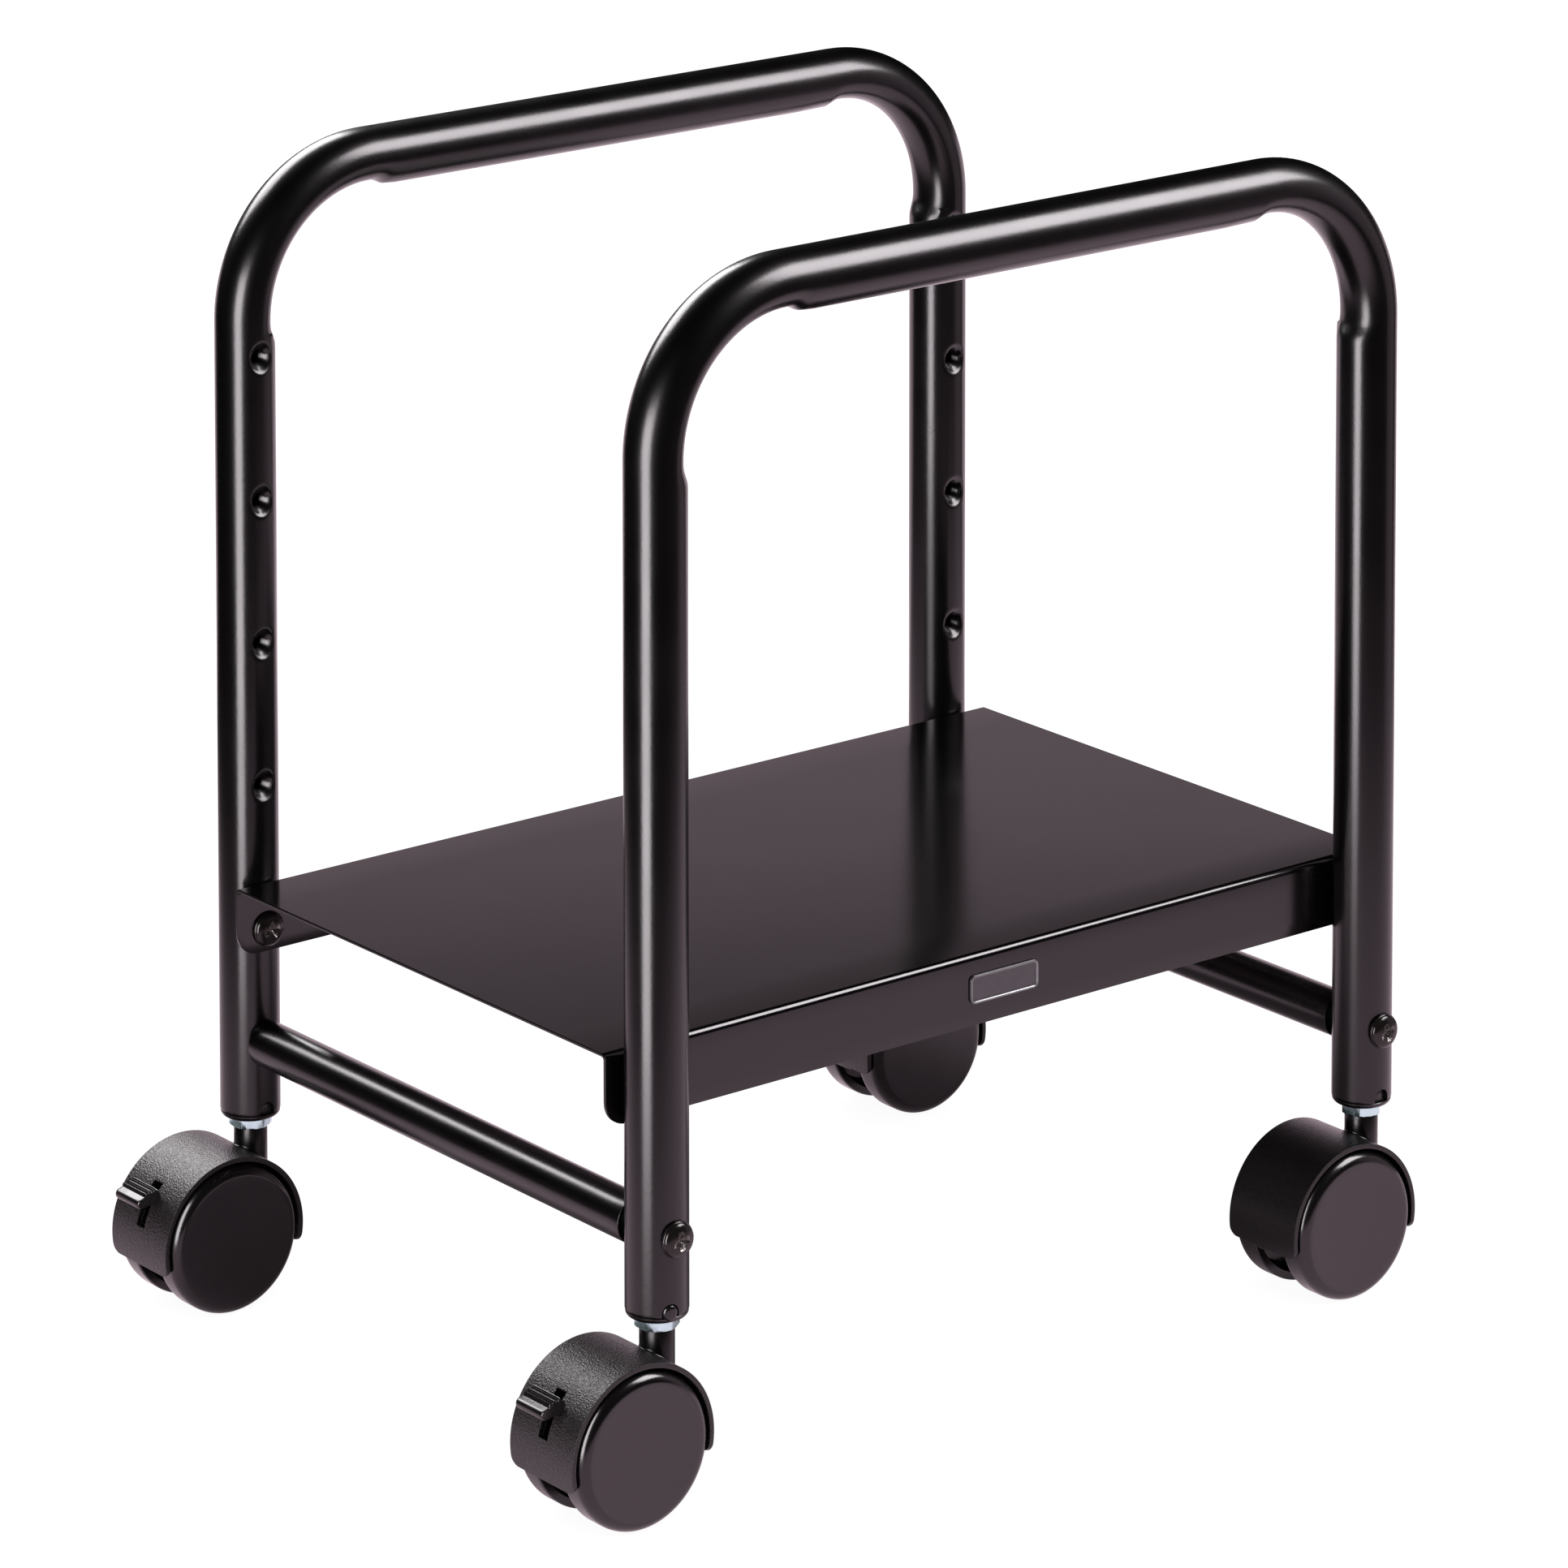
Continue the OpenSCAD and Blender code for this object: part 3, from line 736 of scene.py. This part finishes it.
def hood(leg, s, t, braked):
    # the hoods without a brake take the darker copy of the plastic, which paints in shade
    HM = HOOD if braked else HOOD_SHADED
    ax, ay = s * GX - TRAIL, t * GY

    def at(x, y, z):
        return (ax + x, ay + y, AX_Z + z)
    a_end = math.degrees(math.asin(-HLOW / HR))
    a_far = 180 - math.degrees(math.asin(-(HLOW - (0.0 if braked else 1.6)) / HR))
    span = a_far - a_end
    rc = 3.5
    dist = [rc * (1 - math.cos(math.radians(a))) for a in range(0, 91, 15)]
    deg = [math.degrees(d / HR) for d in dist]
    th = [a_end + d for d in deg]
    a = th[-1] + 1.6
    stops = [134.5, 167.5]
    while a < a_end + span - deg[-1] - 1.0:
        th.append(a)
        a += 2.25
    th += [a_end + span - d for d in deg[::-1]]
    if braked:
        th = [x for x in th if min(abs(x - 134.5), abs(x - 167.5)) > 0.9] + stops
        th.sort()
    ys = [-HH, -HH + 0.8, -HH + 2, -15, -12, -9, -6, -4, -2.65, -1.2, 0, 1.2, 2.65, 4, 6, 9, 12, 15, HH - 2, HH - 0.8, HH]
    verts, faces = [], []
    for q in th:
        d = min(q - a_end, a_end + span - q) * math.pi / 180 * HR
        y_max = HH if d >= rc else HH - rc + math.sqrt(max(rc * rc - (rc - d) ** 2, 0))
        for y in ys:
            yy = max(-y_max, min(y_max, y * (y_max / HH if d < rc else 1)))
            verts.append(at(HR * math.cos(math.radians(q)), yy, HR * math.sin(math.radians(q))))
    m = len(ys)
    for i in range(len(th) - 1):
        mid = (th[i] + th[i + 1]) / 2
        for j in range(m - 1):
            if braked and 134.5 < mid < 167.5 and abs((ys[j] + ys[j + 1]) / 2) < 2.65:
                continue
            faces.append((i * m + j, i * m + j + 1, (i + 1) * m + j + 1, (i + 1) * m + j))
    shell = obj_from(leg + "_hood_shell", verts, faces, HM, leg + "_swivel", (leg + "_hood",), 40)
    c = Vector(at(0, 0, 0)) * MM
    me = shell.data
    if sum((p.center - c).dot(p.normal) for p in me.polygons) < 0:
        me.flip_normals()
    sol = shell.modifiers.new("wall", "SOLIDIFY")
    sol.thickness = HW * MM
    sol.offset = -1
    sol.use_even_offset = True
    bevel(shell, 0.5, 3, 50)
    bake(shell)
    smooth(shell, 40)
    # web between the wheels, with the axle boss
    def outline(r, low):
        return [p for p in arc(0, 0, r, -math.degrees(math.asin(low / r)), 180 + math.degrees(math.asin(low / r)), 96)]
    web_poly = outline(HR - 1.2, HLOW - 0.1)
    b0 = math.degrees(math.asin((HLOW - 0.1) / 9))
    web_poly += arc(0, 0, 9, 180 + b0, 360 - b0, 24)
    v, f = prism(web_poly, -WEB, WEB, at)
    web = obj_from(leg + "_hood_web", v, f, HM, leg + "_swivel", (leg + "_hood",), 40)
    tools = []
    tv, tf = lathe([(0, -12), (3.05, -12), (3.05, 12), (0, 12)], 48, lambda x, y, z: at(x, z, y))
    tools.append(obj_from("c", tv, tf, HM, None))
    tv, tf = lathe([(0, 17), (4.1, 17), (4.1, 60), (0, 60)], 48, lambda x, y, z: at(TRAIL + x, y, z))
    tools.append(obj_from("c", tv, tf, HM, None))
    if braked:
        def clip(poly, r):
            out = []
            for x, z in poly:
                k = math.hypot(x, z)
                out.append((x * r / k, z * r / k) if k > r else (x, z))
            return out

        def box_poly(x0, x1, z0, z1):
            n = 24
            pts = [(x0 + (x1 - x0) * i / n, z0) for i in range(n)] + [(x1, z0 + (z1 - z0) * i / n) for i in range(n)]
            pts += [(x1 + (x0 - x1) * i / n, z1) for i in range(n)] + [(x0, z1 + (z0 - z1) * i / n) for i in range(n)]
            return pts
        tv, tf = prism(clip(box_poly(-26, -10.6, 8, 24), 27.9), -6, 6, at)
        tools.append(obj_from("c", tv, tf, HM, None))
        tv, tf = prism(clip(box_poly(-30.2, -7, -1, 22.5), HR - 0.5), -2.7, 2.7, at)
        tools.append(obj_from("c", tv, tf, HM, None))
        tv, tf = lathe([(0, -2.7), (4.6, -2.7), (4.6, 2.7), (0, 2.7)], 48, lambda x, y, z: at(PIV[0] + x, z, PIV[1] + y))
        tools.append(obj_from("c", tv, tf, HM, None))
    cut(web, *tools)
    bevel(web, 0.3, 2, 55)
    bake(web)
    smooth(web, 35)
    # neck around the stem, run into the shell; its darker, less reflective plastic is painted shade
    rings = []
    top = AX_DROP - 4.1 - 0.15
    for k in range(9):
        if k < 5:
            r = 6.25 + 1.3 * (1 - math.sin(math.radians(90 * k / 4)))
            lift = 1.3 * (1 - math.cos(math.radians(90 * k / 4)))
            ring = []
            for j in range(72):
                b = 2 * math.pi * j / 72
                x, y = r * math.cos(b), r * math.sin(b)
                z = math.sqrt(max((HR - 0.25) ** 2 - (TRAIL + x) ** 2, 0)) + lift
                ring.append(at(TRAIL + x, y, z))
            rings.append(ring)
    ring0 = []
    for j in range(72):
        b = 2 * math.pi * j / 72
        x, y = 7.2 * math.cos(b), 7.2 * math.sin(b)
        ring0.append(at(TRAIL + x, y, math.sqrt(max((HR - 1.5) ** 2 - (TRAIL + x) ** 2, 0))))
    rings = [ring0] + rings
    for r, z in ((6.25, top - 0.5), (6.1, top - 0.15), (5.8, top), (4.3, top), (4.15, top - 0.2), (4.15, top - 6.5)):
        rings.append([at(TRAIL + r * math.cos(2 * math.pi * j / 72), r * math.sin(2 * math.pi * j / 72), z) for j in range(72)])
    v, f = loft(rings)
    obj_from(leg + "_hood_neck", v, f, NECK_SHADED, leg + "_swivel", (leg + "_hood",), 35)


def wheel(leg, s, t, side):
    ax, ay = s * GX - TRAIL, t * GY
    W = WHEEL_OUT
    prof = [(0, W - 0.25), (6, W - 0.25), (16, W - 0.18), (21.0, W - 0.06), (22.0, W - 0.02)]
    n_face = len(prof)
    e = 4.3
    for a in range(90, -1, -6):
        q = math.radians(a)
        prof.append((WR - e + e * math.cos(q), W - e + e * math.sin(q)))
    prof += [(WR, 13.0), (WR, 10.5), (WR, 9.4), (WR, 8.8), (WR - 0.15, 8.3), (WR - 0.5, 8.0), (WR - 3, 8.0), (WR - 3, 14.1), (WR - 5, 16.1), (7.5, 16.1), (6.5, 15.3), (6.5, 5.25),
             (3.2, 5.25), (3.1, 5.4), (3.1, 16.0), (0, 16.0)]
    v, f = lathe(prof, 128, lambda x, y, z: (ax + x, ay + side * z, AX_Z + y))
    ids = [0] * len(f)
    for i in range(0, 128 * (n_face + 1)):
        if i < len(ids):
            ids[i] = 1
    ab = "a" if side < 0 else "b"
    obj_from(f"{leg}_wheel_{ab}_disc", v, f, [WHEEL, WHEEL_FACE], f"{leg}_wheel_{ab}_body", (f"{leg}_wheel_{ab}",), 30, ids)


def lever(leg, s, t):
    ax, ay = s * GX - TRAIL, t * GY

    def at(x, y, z):
        return (ax + x, ay + y, AX_Z + z)
    px, pz = PIV
    arm = [(px - 3.2, pz - 2.4), (-24.5, 14.6), (-29.5, 16.9), (-29.5, 20.9), (-24.4, 19.6), (px - 1, pz + 4)]
    boss = arc(px, pz, 4, 0, 354, 59)
    pad = [(px - 4, pz), (px + 11.4 * math.cos(math.radians(118)) - 2, pz + 11.4 * math.sin(math.radians(118))),
           (px + 11.4 * math.cos(math.radians(118)) + 2, pz + 11.4 * math.sin(math.radians(118))), (px + 3.5, pz + 1.5)]
    parts = [prism(arm, -2.4, 2.4, at), prism(boss, -2.35, 2.35, at), prism(pad, -2.3, 2.3, at),
             lathe([(0, -9), (1.7, -9), (2, -8.7), (2, 8.7), (1.7, 9), (0, 9)], 32,
                   lambda x, y, z: at(px + 11.4 * math.cos(math.radians(118)) + x, z, pz + 11.4 * math.sin(math.radians(118)) + y))]
    v, f = joined(parts)
    ob = obj_from(leg + "_brake_arm", v, f, LEVER, leg + "_brake_body", (leg + "_brake",), 40)
    bevel(ob, 0.45, 3, 40)
    bake(ob)
    smooth(ob, 40)
    # paddle outline: round nose, rounded outer lip, ribbed top
    nose = arc(-34.1, 18.4, 1.9, 255, 105, 16)
    top = []
    x = -33.9
    while x < -26.9:
        base = 20.25 + (x + 34) * 0.34 if x < -32.8 else 21.0 + (x + 33.0) * 0.19
        k = (x + 32.4) / 1.15
        rib = 0.0
        if -0.5 <= k <= 4.5:
            rib = 0.85 * math.cos(math.pi * (k - round(k))) ** 2
        top.append((x, base + rib + 0.15))
        x += 0.12
    back = arc(-28.0, 19.9, 2.5, 65, -90, 14)
    low = [(-28.0, 17.4)]
    poly = nose + top + back[1:] + low
    rings = []
    for y, k in ((-7.65, 0.90), (-7.5, 0.94), (-7.25, 0.97), (-6.8, 0.99), (-6.2, 1.0), (0, 1.0), (6.2, 1.0), (6.8, 0.99), (7.25, 0.97), (7.5, 0.94), (7.65, 0.90)):
        cx_, cz_ = -31.0, 19.4
        rings.append([at(cx_ + (x - cx_) * k, y, cz_ + (z - cz_) * k) for x, z in poly])
    v, f = loft(rings)
    obj_from(leg + "_brake_paddle", v, f, LEVER, leg + "_brake_body", (leg + "_brake",), 28)


for leg, (s, t) in LEGS.items():
    hood(leg, s, t, s < 0)
    wheel(leg, s, t, -1)
    wheel(leg, s, t, 1)
    if s < 0:
        lever(leg, s, t)

for name, ob in NODES.items():
    if name == "crossbar_inserts" or name.endswith("_axle") or name.endswith("_pin"):
        ob.data.materials.clear()
        ob.data.materials.append(ZINC)


# ------------------------------------------------------------------ stage
TINT = (1.0, 0.80, 0.90)


def math_node(nt, op, a, b=None, clamp=False):
    n = nt.nodes.new("ShaderNodeMath")
    n.operation = op
    n.use_clamp = clamp
    for i, v in enumerate((a, b)):
        if v is None:
            continue
        if isinstance(v, (int, float)):
            n.inputs[i].default_value = v
        else:
            nt.links.new(v, n.inputs[i])
    return n.outputs[0]


def step_node(nt, v, a, b, lo, hi):
    n = nt.nodes.new("ShaderNodeMapRange")
    n.interpolation_type = "SMOOTHSTEP"
    n.inputs["From Min"].default_value = a
    n.inputs["From Max"].default_value = b
    n.inputs["To Min"].default_value = lo
    n.inputs["To Max"].default_value = hi
    nt.links.new(v, n.inputs["Value"])
    return n.outputs["Result"]


def floor_material():
    """Near white and softly shaded to the camera. Polished surfaces see a white table that ends a little way out, with
    a painted shadow under the shelf.
    """
    mat = bpy.data.materials.new("floor")
    mat.use_nodes = True
    nt = mat.node_tree
    ns, ln = nt.nodes, nt.links
    ns.clear()
    out = ns.new("ShaderNodeOutputMaterial")
    diff = ns.new("ShaderNodeBsdfDiffuse")
    diff.inputs["Color"].default_value = (0.80, 0.80, 0.80, 1)
    em = ns.new("ShaderNodeEmission")
    em.inputs["Strength"].default_value = FLOOR_EMIT
    mix = ns.new("ShaderNodeMixShader")
    mix.inputs[0].default_value = FLOOR_MIX
    ln.new(diff.outputs[0], mix.inputs[1])
    ln.new(em.outputs[0], mix.inputs[2])
    geo = ns.new("ShaderNodeNewGeometry")
    dist = ns.new("ShaderNodeVectorMath")
    dist.operation = "DISTANCE"
    dist.inputs[1].default_value = (0.15, 0.0, FLOOR_Z * MM)
    ln.new(geo.outputs["Position"], dist.inputs[0])
    xyz = ns.new("ShaderNodeSeparateXYZ")
    ln.new(geo.outputs["Position"], xyz.inputs[0])
    # painted shadow: the table that polished surfaces see is darkened under the shelf
    shelf_shadow_x = step_node(nt, math_node(nt, "ABSOLUTE", xyz.outputs["X"]), 0.17, 0.25, 1.0, 0.0)
    shelf_shadow_y = step_node(nt, math_node(nt, "ABSOLUTE", xyz.outputs["Y"]), 0.09, 0.16, 1.0, 0.0)
    painted_shelf_shadow = math_node(nt, "MULTIPLY", math_node(nt, "MULTIPLY", shelf_shadow_x, shelf_shadow_y), -0.85)
    glow = math_node(nt, "MULTIPLY", math_node(nt, "ADD", painted_shelf_shadow, 1.0), FLOOR_GLOW)
    em2 = ns.new("ShaderNodeEmission")
    em2.inputs["Color"].default_value = (*TINT, 1)
    ln.new(glow, em2.inputs["Strength"])
    clear = ns.new("ShaderNodeBsdfTransparent")
    far = ns.new("ShaderNodeMixShader")
    ln.new(step_node(nt, dist.outputs["Value"], 0.45, 0.95, 0.0, 1.0), far.inputs[0])
    ln.new(em2.outputs[0], far.inputs[1])
    ln.new(clear.outputs[0], far.inputs[2])
    lp = ns.new("ShaderNodeLightPath")
    top = ns.new("ShaderNodeMixShader")
    ln.new(lp.outputs["Is Glossy Ray"], top.inputs[0])
    ln.new(mix.outputs[0], top.inputs[1])
    ln.new(far.outputs[0], top.inputs[2])
    ln.new(top.outputs[0], out.inputs["Surface"])
    return mat


FLOOR_EMIT, FLOOR_MIX, FLOOR_GLOW = 1.18, 0.80, 1.16
bm = bmesh.new()
S = 12.0
for i in range(9):
    for j in range(9):
        bm.verts.new((-S + i * S / 4, -S + j * S / 4, (FLOOR_Z - 0.02) * MM))
bm.verts.ensure_lookup_table()
for i in range(8):
    for j in range(8):
        bm.faces.new([bm.verts[k] for k in (i * 9 + j, (i + 1) * 9 + j, (i + 1) * 9 + j + 1, i * 9 + j + 1)])
me = bpy.data.meshes.new("floor")
bm.to_mesh(me)
bm.free()
me.materials.append(floor_material())
floor = bpy.data.objects.new("floor", me)
bpy.context.scene.collection.objects.link(floor)
floor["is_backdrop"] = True

world = bpy.data.worlds.new("studio")
bpy.context.scene.world = world
world.use_nodes = True
nt = world.node_tree
ns, ln = nt.nodes, nt.links
ns.clear()
out = ns.new("ShaderNodeOutputWorld")
bg_cam = ns.new("ShaderNodeBackground")
bg_cam.inputs["Color"].default_value = (1, 1, 1, 1)
bg_cam.inputs["Strength"].default_value = 1.0
bg_gloss = ns.new("ShaderNodeBackground")
bg_gloss.inputs["Color"].default_value = (*TINT, 1)
bg_gloss.inputs["Strength"].default_value = 0.004
bg_diff = ns.new("ShaderNodeBackground")
bg_diff.inputs["Color"].default_value = (1, 1, 1, 1)
bg_diff.inputs["Strength"].default_value = 0.9
lp = ns.new("ShaderNodeLightPath")
m1 = ns.new("ShaderNodeMixShader")
ln.new(lp.outputs["Is Glossy Ray"], m1.inputs[0])
ln.new(bg_diff.outputs[0], m1.inputs[1])
ln.new(bg_gloss.outputs[0], m1.inputs[2])
m2 = ns.new("ShaderNodeMixShader")
ln.new(lp.outputs["Is Camera Ray"], m2.inputs[0])
ln.new(m1.outputs[0], m2.inputs[1])
ln.new(bg_cam.outputs[0], m2.inputs[2])
ln.new(m2.outputs[0], out.inputs["Surface"])


def area(name, loc, target, sx, sy, rad, col=(1, 1, 1), gloss=True, only=None):
    """A softbox of radiance rad. Polished surfaces see it, or with gloss False it only lights."""
    li = bpy.data.lights.new(name, "AREA")
    li.shape = "RECTANGLE"
    li.size, li.size_y = sx, sy
    li.energy = rad * math.pi * sx * sy
    li.color = col
    ob = bpy.data.objects.new(name, li)
    ob.location = loc
    ob.rotation_mode = "QUATERNION"
    ob.rotation_quaternion = (Vector(target) - Vector(loc)).to_track_quat("-Z", "Y")
    ob.visible_camera = False
    ob.visible_diffuse = not gloss
    ob.visible_glossy = gloss
    ob.visible_shadow = True
    bpy.context.scene.collection.objects.link(ob)
    if only:
        ob.light_linking.receiver_collection = only
    return ob


shelf_set = bpy.data.collections.new("shelf_set")
rest_set = bpy.data.collections.new("rest_set")
caster_set = bpy.data.collections.new("caster_set")
for ob in list(bpy.context.scene.objects):
    if ob.type == "MESH" and ob is not floor:
        if ob.name == "shelf_tray" or "_brake_paddle" in ob.name:
            shelf_set.objects.link(ob)
        if ob.name != "shelf_tray":
            rest_set.objects.link(ob)
        if any(k in ob.name for k in ("_hood", "_wheel", "_brake")):
            caster_set.objects.link(ob)

area("box_front_top", (0.95, -0.95, 1.25), (0, -0.12, 0.26), 1.0, 0.88, 16)
area("box_back_top", (-0.10, 1.09, 0.97), (-0.16, 0, -0.06), 1.12, 0.78, 12, only=rest_set)
area("box_left", (-1.08, -0.43, 0.02), (-0.1, -0.12, 0.02), 0.50, 0.90, 14.5)
area("box_left_high", (-1.08, -0.43, 0.67), (-0.1, -0.12, 0.67), 0.50, 0.40, 14.5, only=caster_set)
area("sweep_back", (0.43, 0.55, 0.01), (0, 0, 0.01), 1.7, 0.34, 1.2, TINT, only=rest_set)
area("sweep_shelf", (0.30, 0.62, 0.13), (0, 0, 0.13), 2.6, 0.62, 0.21, TINT, only=shelf_set)
area("sweep_shelf_mid", (0.295, 0.61, 0.031), (0, 0, 0.031), 2.6, 0.462, 0.13, TINT, only=shelf_set)
area("sweep_shelf_low", (0.29, 0.60, 0.02), (0, 0, 0.02), 2.6, 0.44, 0.12, TINT, only=shelf_set)
area("card_right", (1.30, -0.75, 0.10), (0, 0, 0.10), 0.9, 1.0, 0.45, TINT)
area("key_soft", (-0.8, -0.9, 1.6), (0, 0, 0), 1.2, 1.2, 1.0, gloss=False)

cam_data = bpy.data.cameras.new("camera")
cam = bpy.data.objects.new("camera", cam_data)
bpy.context.scene.collection.objects.link(cam)
bpy.context.scene.camera = cam
cam_data.sensor_width = 36.0
cam_data.sensor_fit = "HORIZONTAL"
cam_data.lens = 163.04
cam_data.clip_start, cam_data.clip_end = 0.05, 60
yaw, pitch, roll = math.radians(38.548), math.radians(5.223), math.radians(-0.023)
fwd = Vector((math.sin(yaw) * math.cos(pitch), math.cos(yaw) * math.cos(pitch), -math.sin(pitch)))
right = Vector((math.cos(yaw), -math.sin(yaw), 0))
up = right.cross(fwd)
right, up = right * math.cos(roll) + up * math.sin(roll), up * math.cos(roll) - right * math.sin(roll)
rotm = Matrix((right, up, -fwd)).transposed()
cam.rotation_mode = "QUATERNION"
cam.rotation_quaternion = rotm.to_quaternion()
cam.location = Vector((-1.61523, -2.01366, 0.85460))
drv = cam_data.driver_add("shift_y").driver
drv.type = "SCRIPTED"
var = drv.variables.new()
var.name = "x"
var.type = "SINGLE_PROP"
var.targets[0].id = cam
var.targets[0].data_path = "location.x"
drv.expression = "-1.0003 if abs(x + 1.61523) < 0.001 else 0"

bpy.context.scene.view_settings.view_transform = "Standard"
bpy.context.scene.view_settings.look = "None"

bpy.context.view_layer.update()
lo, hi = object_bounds()
